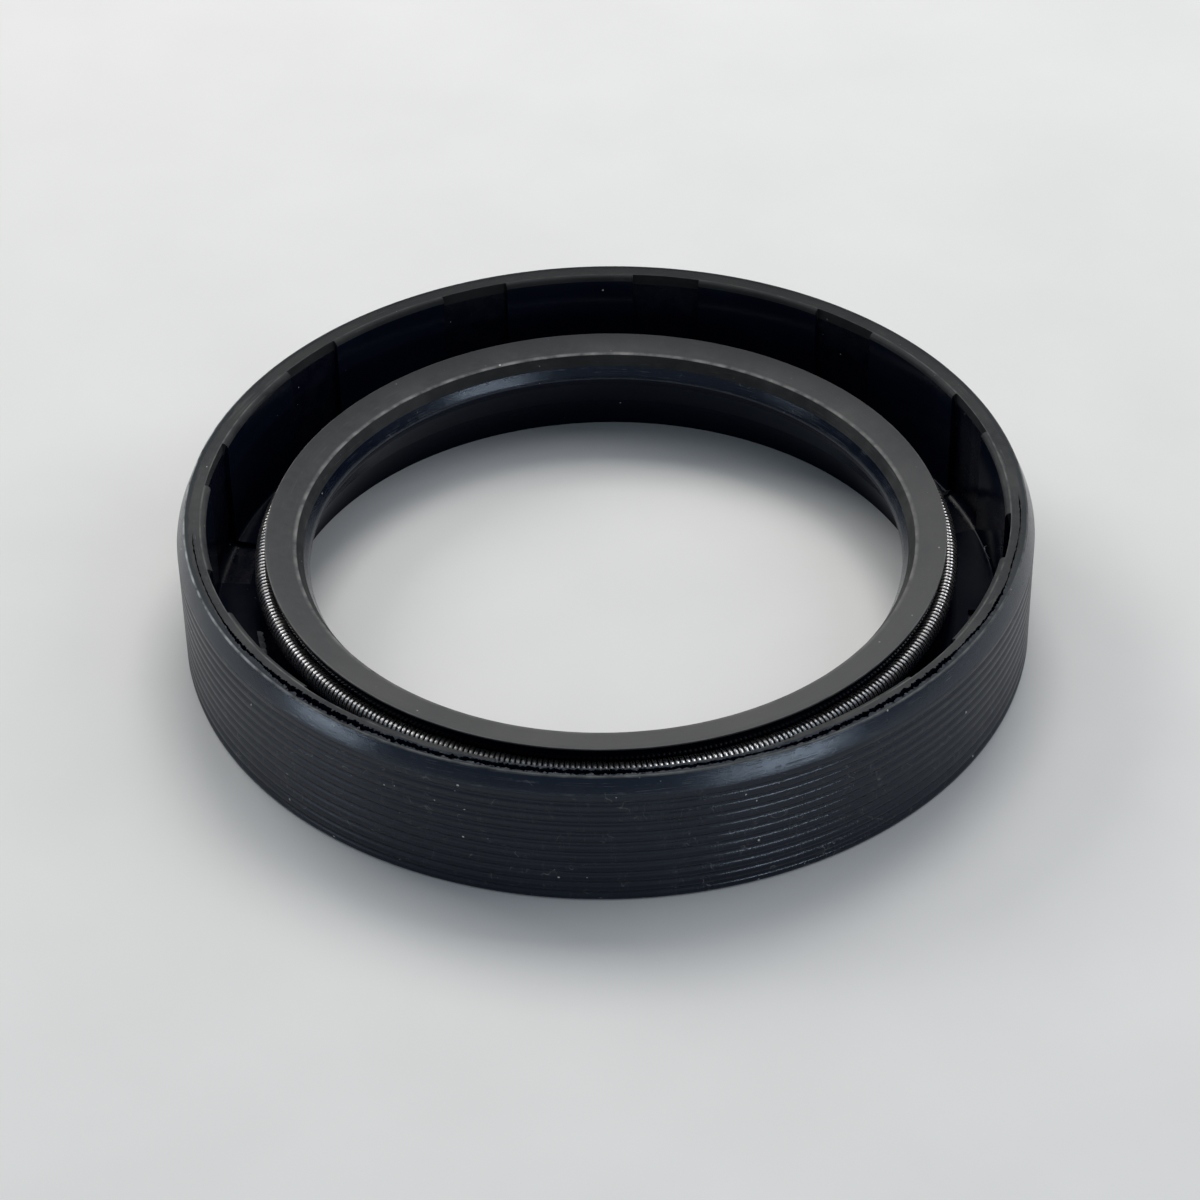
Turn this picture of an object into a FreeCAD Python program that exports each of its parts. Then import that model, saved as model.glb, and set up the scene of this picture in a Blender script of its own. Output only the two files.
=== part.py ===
# Radial shaft seal, 50 x 70 x 12: a rubber covering moulded round a steel insert,
# with a garter spring in the groove behind the sealing lip.
#
# Millimetres. The origin is the centre of the flat back face, and +Z points along
# the axis towards the spring side, so the seal lies on its back with the spring up.
# Every section is drawn in the half plane of X (radius) and Z (height).

import FreeCAD, Part
import math
import os

import Sketcher

doc = FreeCAD.newDocument("ShaftSeal")

# Driving dimensions

sheet = doc.addObject("Spreadsheet::Sheet", "Sizes")

DIMENSIONS = [
    # Overall
    ("shaft_diameter", 50.0),
    ("radial_section", 10.0),
    ("seal_width", 12.0),
    ("standard_section", 10.0),
    # Outside wall
    ("cover_thickness", 1.1),
    ("back_chamfer", 0.25),
    ("taper_length", 1.5),
    ("taper_depth", 0.65),
    ("rib_groove_count", 10),
    ("rib_groove_pitch", 1.0),
    ("rib_groove_depth", 0.22),
    ("rib_groove_width", 0.6),
    ("first_groove_height", 0.75),
    # Steel insert
    ("insert_thickness", 0.9),
    ("insert_bend_radius", 0.8),
    ("insert_back_cover", 0.5),
    ("insert_rim_cover", 1.0),
    ("insert_flange_width", 4.2),
    # Inside of the cup
    ("pad_wall_thickness", 0.45),
    ("pad_floor_thickness", 0.4),
    ("slot_count", 12),
    ("slot_angle", 10.3),
    ("first_slot_angle", 20.0),
    ("slot_floor_length", 3.0),
    # Sealing lip
    ("lip_interference", 1.2),
    ("contact_height", 6.45),
    ("contact_width", 0.3),
    ("flank_width", 0.45),
    ("flank_height", 1.05),
    ("face_chamfer_width", 0.55),
    ("face_chamfer_height", 0.9),
    ("head_thickness", 3.6),
    ("head_face_rise", 0.5),
    # Neck between lip and insert
    ("air_flank_width", 1.9),
    ("air_flank_height", 3.3),
    ("hole_offset", 2.9),
    ("hole_edge_height", 0.6),
    ("neck_root_offset", 4.1),
    ("neck_waist_offset", 2.6),
    ("neck_waist_height", 4.2),
    ("neck_root_radius", 1.2),
    ("neck_waist_radius", 0.5),
    ("lower_shoulder_offset", 3.4),
    ("lower_shoulder_drop", 1.6),
    # Garter spring
    ("coil_diameter", 1.7),
    ("wire_diameter", 0.4),
    ("spring_height", 6.7),
    ("spring_stand_out", 0.1),
    ("spring_clearance", 0.05),
]

for row, (alias, size) in enumerate(DIMENSIONS, start=1):
    sheet.set(f"A{row}", alias)
    sheet.set(f"B{row}", str(size))
    sheet.setAlias(f"B{row}", alias)

# The radial section is what lies between shaft and housing bore. The sizes across it
# are those of a seal of the standard section, and grow and shrink with it.
scale_row = len(DIMENSIONS) + 1
sheet.set(f"A{scale_row}", "section_scale")
sheet.set(f"B{scale_row}", "=radial_section / standard_section")
sheet.setAlias(f"B{scale_row}", "section_scale")

doc.recompute()


def cell(alias):
    """The text by which an expression reads one cell of the sheet."""
    return f"Sizes.{alias}"


def across(alias):
    """One size across the section, in proportion to the radial section."""
    return f"({cell(alias)} * {cell('section_scale')})"


def number(expression):
    """The present value of an expression."""
    return float(sheet.evalExpression(expression))


# Radii and heights worked out from the driving dimensions

ZERO = "0"

housing_radius = f"({cell('shaft_diameter')} / 2 + {cell('radial_section')})"
rim_height = cell("seal_width")
taper_foot = f"({rim_height} - {cell('taper_length')})"
rim_outer_radius = f"({housing_radius} - {across('taper_depth')})"

rib_groove_foot = f"({cell('first_groove_height')} - {cell('rib_groove_width')} / 2)"
rib_groove_top = f"({cell('first_groove_height')} + {cell('rib_groove_width')} / 2)"

insert_outer_radius = f"({housing_radius} - {across('cover_thickness')})"
insert_inner_radius = f"({insert_outer_radius} - {across('insert_thickness')})"
insert_back = cell("insert_back_cover")
insert_floor = f"({insert_back} + {across('insert_thickness')})"
insert_top = f"({rim_height} - {cell('insert_rim_cover')})"
insert_hole_radius = f"({insert_inner_radius} - {across('insert_flange_width')})"
outer_bend_radius = f"({across('insert_bend_radius')} + {across('insert_thickness')})"

pad_wall_radius = f"({insert_inner_radius} - {across('pad_wall_thickness')})"
pad_floor = f"({insert_floor} + {cell('pad_floor_thickness')})"
pad_chamfer_foot = f"({rim_height} - {across('pad_wall_thickness')})"
slot_floor_end = f"({insert_inner_radius} - {across('slot_floor_length')})"

lip_radius = f"({cell('shaft_diameter')} - {cell('lip_interference')}) / 2"
contact_top = f"({cell('contact_height')} + {cell('contact_width')})"
flank_radius = f"({lip_radius} + {across('flank_width')})"
flank_top = f"({contact_top} + {cell('flank_height')})"
face_inner_radius = f"({flank_radius} + {across('face_chamfer_width')})"
face_inner_height = f"({flank_top} + {cell('face_chamfer_height')})"
head_radius = f"({lip_radius} + {across('head_thickness')})"
head_height = f"({face_inner_height} + {cell('head_face_rise')})"

air_flank_radius = f"({lip_radius} + {across('air_flank_width')})"
air_flank_foot = f"({cell('contact_height')} - {cell('air_flank_height')})"
hole_radius = f"({lip_radius} + {across('hole_offset')})"
neck_root = f"({lip_radius} + {across('neck_root_offset')})"
neck_waist = f"({lip_radius} + {across('neck_waist_offset')})"
lower_shoulder = f"({lip_radius} + {across('lower_shoulder_offset')})"
lower_shoulder_foot = f"({cell('spring_height')} - {cell('lower_shoulder_drop')})"

spring_radius = f"({head_radius} + {across('spring_stand_out')})"
coil_radius = f"{across('coil_diameter')} / 2"
coil_bore_radius = f"({coil_radius} - {across('wire_diameter')})"
spring_groove_radius = f"({coil_radius} + {across('spring_clearance')})"

# How far a cutting section runs past the surface that it cuts
OVERRUN = 1.0

FULL_TURN = 360
AXIS = FreeCAD.Vector(0, 0, 1)
SKETCH_NORMAL = FreeCAD.Vector(0, 0, 1)

# Outlines as corners: radius, height and, where the corner is rounded, its radius

RUBBER_OUTLINE = [
    (hole_radius, ZERO),
    (f"({housing_radius} - {cell('back_chamfer')})", ZERO),
    (housing_radius, cell("back_chamfer")),
    (housing_radius, taper_foot),
    (rim_outer_radius, rim_height),
    (insert_inner_radius, rim_height),
    (pad_wall_radius, pad_chamfer_foot),
    (pad_wall_radius, pad_floor),
    (neck_root, pad_floor, across("neck_root_radius")),
    (neck_waist, cell("neck_waist_height"), across("neck_waist_radius")),
    (lower_shoulder, lower_shoulder_foot),
    (lower_shoulder, cell("spring_height")),
    (head_radius, cell("spring_height")),
    (head_radius, head_height),
    (face_inner_radius, face_inner_height),
    (flank_radius, flank_top),
    (lip_radius, contact_top),
    (lip_radius, cell("contact_height")),
    (air_flank_radius, air_flank_foot),
    (hole_radius, cell("hole_edge_height")),
]

INSERT_OUTLINE = [
    (insert_hole_radius, insert_back),
    (insert_outer_radius, insert_back, outer_bend_radius),
    (insert_outer_radius, insert_top),
    (insert_inner_radius, insert_top),
    (insert_inner_radius, insert_floor, across("insert_bend_radius")),
    (insert_hole_radius, insert_floor),
]

RIB_GROOVE_OUTLINE = [
    (housing_radius, rib_groove_foot),
    (f"({housing_radius} + {OVERRUN})", rib_groove_foot),
    (f"({housing_radius} + {OVERRUN})", rib_groove_top),
    (housing_radius, rib_groove_top),
    (f"({housing_radius} - {cell('rib_groove_depth')})", cell("first_groove_height")),
]

SLOT_OUTLINE = [
    (slot_floor_end, insert_floor),
    (insert_inner_radius, insert_floor, across("insert_bend_radius")),
    (insert_inner_radius, f"({rim_height} + {OVERRUN})"),
    (f"({pad_wall_radius} - {OVERRUN})", f"({rim_height} + {OVERRUN})"),
    (f"({pad_wall_radius} - {OVERRUN})", f"({pad_floor} + {OVERRUN})"),
    (slot_floor_end, f"({pad_floor} + {OVERRUN})"),
]


def new_body(label):
    """An empty body, whose label names its file."""
    body = doc.addObject("PartDesign::Body", label)
    body.Label = label
    return body


def origin_feature(body, role):
    """One of the body's own planes or axes."""
    return next(item for item in body.Origin.OriginFeatures if item.Role == role)


def new_sketch(body, name):
    """A sketch in the body's half plane of radius and height."""
    sketch = body.newObject("Sketcher::SketchObject", name)
    sketch.AttachmentSupport = [(origin_feature(body, "XZ_Plane"), "")]
    sketch.MapMode = "FlatFace"
    return sketch


def bind(sketch, kind, references, name, expression):
    """Add one dimension to the sketch and tie it to an expression."""
    index = sketch.addConstraint(Sketcher.Constraint(kind, *references, number(expression)))
    sketch.renameConstraint(index, name)
    sketch.setExpression(f"Constraints.{name}", expression)


def place_point(sketch, geometry, point, name, radius, height):
    """Fix a point of the sketch at a radius and a height."""
    bind(sketch, "DistanceX", (-1, 1, geometry, point), f"{name}_radius", radius)
    if height == ZERO:
        sketch.addConstraint(Sketcher.Constraint("PointOnObject", geometry, point, -1))
    else:
        bind(sketch, "DistanceY", (-1, 1, geometry, point), f"{name}_height", height)


def rounding(before, corner, after, radius):
    """Where a rounded corner starts, its centre, where it ends, and if it turns left."""
    inward = (before - corner).normalize()
    outward = (after - corner).normalize()
    half_angle = inward.getAngle(outward) / 2
    reach = radius / math.tan(half_angle)
    middle = (inward + outward).normalize()
    centre = corner + middle * (radius / math.sin(half_angle))
    turns_left = (corner - before).cross(after - corner).z > 0
    return corner + inward * reach, centre, corner + outward * reach, turns_left


def draw_outline(sketch, corners):
    """Draw a closed outline of straight lines, with the rounded corners as tangent arcs."""
    points = [FreeCAD.Vector(number(corner[0]), number(corner[1]), 0) for corner in corners]
    starts = []
    ends = []
    arcs = {}
    for index, corner in enumerate(corners):
        before = points[index - 1]
        after = points[(index + 1) % len(points)]
        if len(corner) == 3:
            start, centre, end, left = rounding(before, points[index], after, number(corner[2]))
            arcs[index] = (start, centre, end, left)
        else:
            start = end = points[index]
        ends.append(start)
        starts.append(end)

    lines = []
    for index in range(len(corners)):
        line = Part.LineSegment(starts[index], ends[(index + 1) % len(corners)])
        lines.append(sketch.addGeometry(line))

    for index, corner in enumerate(corners):
        name = f"corner_{index}"
        line_in = lines[index - 1]
        line_out = lines[index]
        if index not in arcs:
            sketch.addConstraint(Sketcher.Constraint("Coincident", line_in, 2, line_out, 1))
            place_point(sketch, line_out, 1, name, corner[0], corner[1])
            continue
        start, centre, end, left = arcs[index]
        first, last = (start, end) if left else (end, start)
        circle = Part.Circle(centre, SKETCH_NORMAL, (start - centre).Length)
        arc = sketch.addGeometry(Part.ArcOfCircle(circle, circle.parameter(first), circle.parameter(last)))
        arc_start, arc_end = (1, 2) if left else (2, 1)
        sharp = sketch.addGeometry(Part.Point(points[index]), True)
        place_point(sketch, sharp, 1, name, corner[0], corner[1])
        sketch.addConstraint(Sketcher.Constraint("PointOnObject", sharp, 1, line_in))
        sketch.addConstraint(Sketcher.Constraint("PointOnObject", sharp, 1, line_out))
        sketch.addConstraint(Sketcher.Constraint("Tangent", line_in, 2, arc, arc_start))
        sketch.addConstraint(Sketcher.Constraint("Tangent", arc, arc_end, line_out, 1))
        bind(sketch, "Radius", (arc,), f"{name}_round", corner[2])


def draw_circle(sketch, name, radius, height, circle_radius):
    """Draw one circle, with its centre at a radius and a height."""
    centre = FreeCAD.Vector(number(radius), number(height), 0)
    circle = Part.Circle(centre, SKETCH_NORMAL, number(circle_radius))
    index = sketch.addGeometry(circle)
    place_point(sketch, index, 3, name, radius, height)
    bind(sketch, "Radius", (index,), f"{name}_round", circle_radius)


def revolve(body, name, sketch, kind="PartDesign::Revolution"):
    """Turn a sketch once round the axis, as solid or as a cut."""
    feature = body.newObject(kind, name)
    feature.Profile = sketch
    feature.ReferenceAxis = (sketch, ["V_Axis"])
    feature.Angle = FULL_TURN
    sketch.Visibility = False
    return feature


def cut_round(body, name, sketch):
    """Cut a sketch out of the body all the way round."""
    return revolve(body, name, sketch, "PartDesign::Groove")


# Rubber covering

def build_rubber():
    """The one moulding: ribbed wall, taper, rim, back, neck and sealing lip."""
    body = new_body("rubber_body")
    outline = new_sketch(body, "RubberSection")
    draw_outline(outline, RUBBER_OUTLINE)
    features = [revolve(body, "Moulding", outline)]

    groove = new_sketch(body, "SpringGrooveSection")
    draw_circle(groove, "groove", spring_radius, cell("spring_height"), spring_groove_radius)
    features.append(cut_round(body, "SpringGroove", groove))

    bed = new_sketch(body, "InsertBedSection")
    draw_outline(bed, INSERT_OUTLINE)
    features.append(cut_round(body, "InsertBed", bed))

    rib = new_sketch(body, "RibGrooveSection")
    draw_outline(rib, RIB_GROOVE_OUTLINE)
    features.append(cut_round(body, "RibGroove", rib))

    ribs = body.newObject("PartDesign::LinearPattern", "RibGrooves")
    ribs.Originals = [features[-1]]
    ribs.Direction = (origin_feature(body, "Z_Axis"), [""])
    ribs.setExpression("Length", f"({cell('rib_groove_count')} - 1) * {cell('rib_groove_pitch')}")
    ribs.setExpression("Occurrences", cell("rib_groove_count"))
    body.Tip = ribs
    features.append(ribs)

    slot_section = new_sketch(body, "SlotSection")
    draw_outline(slot_section, SLOT_OUTLINE)
    slot = cut_round(body, "Slot", slot_section)
    slot.Midplane = True
    slot.setExpression("Angle", cell("slot_angle"))
    features.append(slot)

    slots = body.newObject("PartDesign::PolarPattern", "Slots")
    slots.Originals = [slot]
    slots.Axis = (origin_feature(body, "Z_Axis"), [""])
    slots.Angle = FULL_TURN
    slots.setExpression("Occurrences", cell("slot_count"))
    body.Tip = slots
    features.append(slots)
    return body, features


# Steel insert

def build_insert():
    """The pressed ring of L section that the rubber is bonded to."""
    body = new_body("steel_insert")
    outline = new_sketch(body, "InsertSection")
    draw_outline(outline, INSERT_OUTLINE)
    revolve(body, "PressedRing", outline)
    return body


# Garter spring

def build_spring():
    """The closed ring of the coiled wire: the coil's outside, hollow inside the wire."""
    body = new_body("garter_spring")
    coil = new_sketch(body, "CoilSection")
    draw_circle(coil, "outside", spring_radius, cell("spring_height"), coil_radius)
    draw_circle(coil, "inside", spring_radius, cell("spring_height"), coil_bore_radius)
    revolve(body, "CoilRing", coil)
    return body


rubber_body, rubber_features = build_rubber()
steel_insert = build_insert()
garter_spring = build_spring()

parts = (rubber_body, steel_insert, garter_spring)

# The slots are cut from the X axis on, so the whole seal is turned to the first slot's angle
for part in parts:
    turn = FreeCAD.Rotation(AXIS, number(cell("first_slot_angle")))
    part.Placement = FreeCAD.Placement(FreeCAD.Vector(0, 0, 0), turn)
    part.setExpression("Placement.Rotation.Angle", cell("first_slot_angle"))

doc.recompute()

# Checks before anything is written

for item in doc.Objects:
    if "Invalid" in item.State or "Error" in item.State:
        raise RuntimeError(f"{item.Name} did not build: {item.State}")

volumes = [feature.Shape.Volume for feature in rubber_features]
for feature, larger, smaller in zip(rubber_features[1:], volumes, volumes[1:]):
    if smaller >= larger:
        raise RuntimeError(f"{feature.Name} cuts nothing")

for part in parts:
    if part.Shape.isNull() or not part.Shape.isValid() or len(part.Shape.Solids) != 1:
        raise RuntimeError(f"{part.Label} is not one valid solid")

os.makedirs("parts", exist_ok=True)
for part in parts:
    part.Shape.exportStep(f"parts/{part.Label}.step")
    box = part.Shape.BoundBox
    print(part.Label, "volume", round(part.Shape.Volume, 1), "mm3")
    print("  from height", round(box.ZMin, 3), "to", round(box.ZMax, 3), "width", round(box.XLength, 3))
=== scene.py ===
# %% [markdown]
# # A radial shaft seal
#
# The seal is a rubber ring moulded round a steel insert. A lip on its inside seals
# against a turning shaft, and a garter spring behind the lip presses it on. This lesson
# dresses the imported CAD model: it models the rubber covering and the wound spring in
# full, and gives each piece its real finish. The seal's lengths are written in
# millimetres and turned into metres by `MM`.

# %% Load the CAD model
import math

import bmesh
import bpy
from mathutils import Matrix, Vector, noise


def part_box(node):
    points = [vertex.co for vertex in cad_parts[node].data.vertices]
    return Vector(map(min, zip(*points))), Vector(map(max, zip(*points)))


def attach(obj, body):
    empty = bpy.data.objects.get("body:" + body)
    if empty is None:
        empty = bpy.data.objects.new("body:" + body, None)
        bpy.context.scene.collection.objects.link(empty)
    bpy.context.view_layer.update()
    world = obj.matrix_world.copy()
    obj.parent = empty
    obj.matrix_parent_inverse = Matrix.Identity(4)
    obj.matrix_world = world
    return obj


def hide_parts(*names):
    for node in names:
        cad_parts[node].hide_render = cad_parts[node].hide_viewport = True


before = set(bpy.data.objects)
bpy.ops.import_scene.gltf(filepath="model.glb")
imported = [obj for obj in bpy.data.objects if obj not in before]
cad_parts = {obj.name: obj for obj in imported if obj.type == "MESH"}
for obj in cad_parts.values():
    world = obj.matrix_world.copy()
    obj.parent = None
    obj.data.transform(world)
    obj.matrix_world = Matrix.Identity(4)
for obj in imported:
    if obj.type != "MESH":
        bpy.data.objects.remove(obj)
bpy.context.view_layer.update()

MM = 0.001
high_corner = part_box("rubber_body")[1]
outside_radius = high_corner.x / MM
seal_width = high_corner.z / MM
print("outside radius", round(outside_radius, 2), "mm, width", round(seal_width, 2), "mm")

# %% [markdown]
# ## Camera
#
# The camera stands where the photograph was taken from. Its place, in metres, was found
# by fitting the seal's circles, so the outlines fall on those of the picture. A long
# lens gives the weak perspective, and depth of field stays off.

# %% Set up the camera
CAMERA_PLACE = (0.0, -0.24601, 0.19754)
CAMERA_TURN = (51.441, 0.818, -0.520)
LENS, SENSOR_WIDTH = 113.22, 36.0

bpy.ops.object.camera_add(
    location=CAMERA_PLACE, rotation=[math.radians(angle) for angle in CAMERA_TURN])
camera = bpy.context.object
camera.data.lens, camera.data.sensor_width = LENS, SENSOR_WIDTH
bpy.context.scene.camera = camera
bpy.context.scene.view_settings.view_transform = "Standard"
print("camera at", [round(value, 3) for value in camera.location])

# %% [markdown]
# ## Helpers for working by hand
#
# Modelling by hand is a round of three steps: pick a piece, select some of its faces or
# edges, and use a tool on them. These helpers do the first two. A place is told by its
# radius, its height and its angle, because every form here runs round the axis.

# %% Pick pieces and select on them


def mode(name):
    """Go to edit mode or back to object mode."""
    bpy.ops.object.mode_set(mode=name)


def work_on(piece):
    """Select this piece alone and make it the active one."""
    bpy.ops.object.select_all(action="DESELECT")
    piece.select_set(True)
    bpy.context.view_layer.objects.active = piece


def place_of(point):
    """Radius in mm, height in mm and angle in degrees of a point."""
    angle = math.degrees(math.atan2(point.y, point.x)) % 360.0
    return math.hypot(point.x, point.y) / MM, point.z / MM, angle


def select_where(piece, kind, wanted):
    """In edit mode, select the faces, or the edges with one face, at a wanted place."""
    bpy.ops.mesh.select_mode(type=kind)
    mesh = bmesh.from_edit_mesh(piece.data)
    items = mesh.faces if kind == "FACE" else mesh.edges
    for item in items:
        middle = sum((corner.co for corner in item.verts), Vector()) / len(item.verts)
        allowed = kind == "FACE" or item.is_boundary
        item.select_set(allowed and bool(wanted(*place_of(middle))))
    bmesh.update_edit_mesh(piece.data)
    return sum(item.select for item in items)


print("helpers ready")

# %% [markdown]
# Three tools serve more than one piece.

# %% Start, weld and modify


def start_piece(name):
    """Start a piece that is empty, in edit mode."""
    bpy.ops.object.select_all(action="DESELECT")
    bpy.ops.mesh.primitive_plane_add(size=MM, location=(0, 0, 0))
    piece = bpy.context.object
    piece.name = name
    mode("EDIT")
    bpy.ops.mesh.delete(type="VERT")
    return piece


def weld(distance):
    """In edit mode, select all and merge the points closer than a distance in mm."""
    bpy.ops.mesh.select_all(action="SELECT")
    bpy.ops.mesh.remove_doubles(threshold=distance * MM)


def run_modifier(piece, kind, **settings):
    """Add a modifier to the active piece, set it up and apply it."""
    bpy.ops.object.modifier_add(type=kind)
    modifier = piece.modifiers[-1]
    for name, value in settings.items():
        setattr(modifier, name, value)
    bpy.ops.object.modifier_apply(modifier=modifier.name)


print("tools ready")

# %% [markdown]
# ## Section of the rubber covering
#
# On the real seal the rubber is one moulding. Its section is the same all the way
# round, apart from twelve slots where pins of the mould held the insert. So it is drawn
# once as an outline and turned round the axis. Naming its corners, and rounding some of
# them, keeps every size readable. A second outline is the bed that the insert fills.

# %% Sizes of the section
TAPER_FOOT = 10.5
RIM_EDGE = outside_radius - 0.65
INSERT_OUTSIDE = outside_radius - 1.1
INSERT_INSIDE = INSERT_OUTSIDE - 0.9
INSERT_HOLE = INSERT_INSIDE - 4.2
INSERT_BACK, INSERT_FLOOR, INSERT_TOP = 0.5, 1.4, seal_width - 1.0
PAD_THICKNESS, PAD_MIDDLE = 0.45, 7.0
PAD_WALL, PAD_FLOOR = INSERT_INSIDE - PAD_THICKNESS, INSERT_FLOOR + 0.4
SLOT_END = INSERT_INSIDE - 3.0
LIP_RADIUS, HOLE_RADIUS = 24.4, 27.3
SPRING_RADIUS, SPRING_HEIGHT, COIL_RADIUS = 28.1, 7.0, 0.85
TEAR_INNER, TEAR_OUTER = 33.40, 34.22
# How far a place may be off in a test
HAIR = 0.01
print("insert from radius", round(INSERT_HOLE, 2), "to", round(INSERT_OUTSIDE, 2), "mm")

# %% [markdown]
# The ribs of the outside wall are broad rounded ridges with narrow grooves between
# them, 1 mm apart. One groove is a row of points given by height above the groove's
# middle and depth under the wall, and the ten grooves are copies of it. Small corners
# break the wall's foot and top.

# %% Outline of the ribbed wall
RIB_COUNT, RIB_PITCH, FIRST_GROOVE = 10, 1.0, 0.75
GROOVE = [(-0.42, 0.0), (-0.30, 0.014), (-0.17, 0.068), (-0.05, 0.130),
          (0.05, 0.130), (0.17, 0.068), (0.30, 0.014), (0.42, 0.0)]
WALL_FOOT = [(0.0, 0.25), (0.12, 0.05)]
WALL_TOP = [(TAPER_FOOT - 0.12, 0.0), (TAPER_FOOT, 0.03)]

wall_points = list(WALL_FOOT)
for groove_index in range(RIB_COUNT):
    middle = FIRST_GROOVE + groove_index * RIB_PITCH
    wall_points += [(middle + rise, depth) for rise, depth in GROOVE]
wall_points += WALL_TOP
wall_outline = [(outside_radius - depth, height) for height, depth in wall_points]
print(len(wall_outline), "points on the wall")

# %% [markdown]
# Two helpers draw the round parts of an outline.

# %% Arcs and rounded corners


def arc(centre, radius, first, last, steps):
    """Points of an arc round a centre, from the first angle to the last."""
    turns = [math.radians(first + (last - first) * step / steps) for step in range(steps + 1)]
    return [(centre[0] + radius * math.cos(turn), centre[1] + radius * math.sin(turn))
            for turn in turns]


def rounded(before, corner, after, radius, steps):
    """Points that round one corner of an outline with a tangent arc."""
    corner = Vector(corner)
    inward, outward = ((Vector(end) - corner).normalized() for end in (before, after))
    half = inward.angle(outward) / 2
    middle = corner + (inward + outward).normalized() * (radius / math.sin(half))
    touches = [corner + way * (radius / math.tan(half)) - middle for way in (inward, outward)]
    first, last = (math.degrees(math.atan2(touch.y, touch.x)) for touch in touches)
    sweep = (last - first + 180.0) % 360.0 - 180.0
    return arc(middle, radius, first, first + sweep, steps)


print("a half circle of", len(arc((0, 0), 1, 0, 180, 6)), "points")

# %% [markdown]
# The taper leads the seal into its bore. From there the outline goes over the flat rim,
# down the pads and across the floor. Two points stand close together on the rim, because
# the torn line is worked between them later.

# %% Outline of the rim and the inside of the cup
TAPER_START = (outside_radius - 0.16, TAPER_FOOT + 0.3)
RIM_CORNER, RIM_INSIDE = (RIM_EDGE, seal_width), (33.0, seal_width)
RIM_ROUND, FLOOR_ROUND = 0.14, 0.25

rim_outline = [
    TAPER_START, *rounded(TAPER_START, RIM_CORNER, RIM_INSIDE, RIM_ROUND, 3),
    (TEAR_OUTER, seal_width), (TEAR_INNER, seal_width),
]
pad_outline = [
    *arc((INSERT_INSIDE, seal_width - PAD_THICKNESS), PAD_THICKNESS, 90, 180, 4),
    (PAD_WALL, PAD_MIDDLE),
    *arc((PAD_WALL - FLOOR_ROUND, PAD_FLOOR + FLOOR_ROUND), FLOOR_ROUND, 0, -90, 3),
    (SLOT_END, PAD_FLOOR),
]
print(len(pad_outline), "points on the pads")

# %% [markdown]
# The neck is the thin web that lets the lip follow the shaft. The spring lies in a round
# groove above it, and the groove's upper end reaches over the spring to hold it.

# %% Outline of the neck and the spring's groove
ROOT, WAIST, SHOULDER = (28.5, PAD_FLOOR), (27.0, 4.2), (27.8, 5.1)
ROOT_ROUND, WAIST_ROUND = 1.2, 0.5
GROOVE_RADIUS = COIL_RADIUS + 0.05
GROOVE_START, GROOVE_END = 250.5, 118.0

neck_outline = [
    *rounded((SLOT_END, PAD_FLOOR), ROOT, WAIST, ROOT_ROUND, 4),
    *rounded(ROOT, WAIST, SHOULDER, WAIST_ROUND, 3),
    SHOULDER,
    *arc((SPRING_RADIUS, SPRING_HEIGHT), GROOVE_RADIUS, GROOVE_START, GROOVE_END, 9),
]
print(len(neck_outline), "points on the neck")

# %% [markdown]
# Then come the trimmed, dull face of the lip, the steep oil flank, the narrow
# contact edge and the long air flank down to the hole.

# %% Outline of the lip
HEAD_EDGE, FACE_EDGE, FLANK_EDGE = (28.0, 9.2), (25.4, 8.7), (24.85, 7.8)
HEAD_FOOT = (27.7, 7.75)
CONTACT_TOP, CONTACT_FOOT = (LIP_RADIUS, 6.75), (LIP_RADIUS, 6.45)
THROAT, HOLE_TOP = (26.3, 3.15), (HOLE_RADIUS, 0.6)

lip_outline = [
    *rounded(HEAD_FOOT, HEAD_EDGE, FACE_EDGE, 0.12, 2),
    (27.3, 9.065), (26.1, 8.835),
    *rounded(HEAD_EDGE, FACE_EDGE, FLANK_EDGE, 0.3, 3),
    *rounded(FACE_EDGE, FLANK_EDGE, CONTACT_TOP, 0.2, 2),
    (24.55, 7.1), CONTACT_TOP, CONTACT_FOOT, (24.7, 5.93), (26.0, 3.67),
    *rounded(CONTACT_FOOT, THROAT, HOLE_TOP, 0.5, 2),
    HOLE_TOP, (HOLE_RADIUS, 0.0),
]
back_outline = [(29.0, 0.0), (32.0, 0.0)]
rubber_outline = (
    wall_outline + rim_outline + pad_outline + neck_outline + lip_outline + back_outline)
print(len(rubber_outline), "points in the whole section")

# %% [markdown]
# The bed has the insert's own section: a wall and a flange joined by a round bend. Its
# inside has as many points as the pads have, so the two can be bridged in the slots.

# %% Outline of the insert's bed
INSIDE_BEND, OUTSIDE_BEND = 0.8, 1.7
BED_LEVELS = (INSERT_TOP, 10.8, 10.5, 10.2, 9.8, PAD_MIDDLE)

bed_inside = [(INSERT_INSIDE, height) for height in BED_LEVELS] + [
    *arc((INSERT_INSIDE - INSIDE_BEND, INSERT_FLOOR + INSIDE_BEND), INSIDE_BEND, 0, -90, 3),
    (SLOT_END, INSERT_FLOOR),
]
bed_outline = bed_inside + [
    (INSERT_HOLE, INSERT_FLOOR), (INSERT_HOLE, INSERT_BACK),
    *arc((INSERT_OUTSIDE - OUTSIDE_BEND, INSERT_BACK + OUTSIDE_BEND), OUTSIDE_BEND, -90, 0, 4),
    (INSERT_OUTSIDE, INSERT_TOP),
]
print(len(bed_inside), "points on the bed's inside")

# %% [markdown]
# ## Turning one twelfth of the ring
#
# An outline is drawn by hand too: one point is put down and extruded from place to
# place. The last extrusion comes back to the first point, and welding closes the line.

# %% Draw an outline


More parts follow.
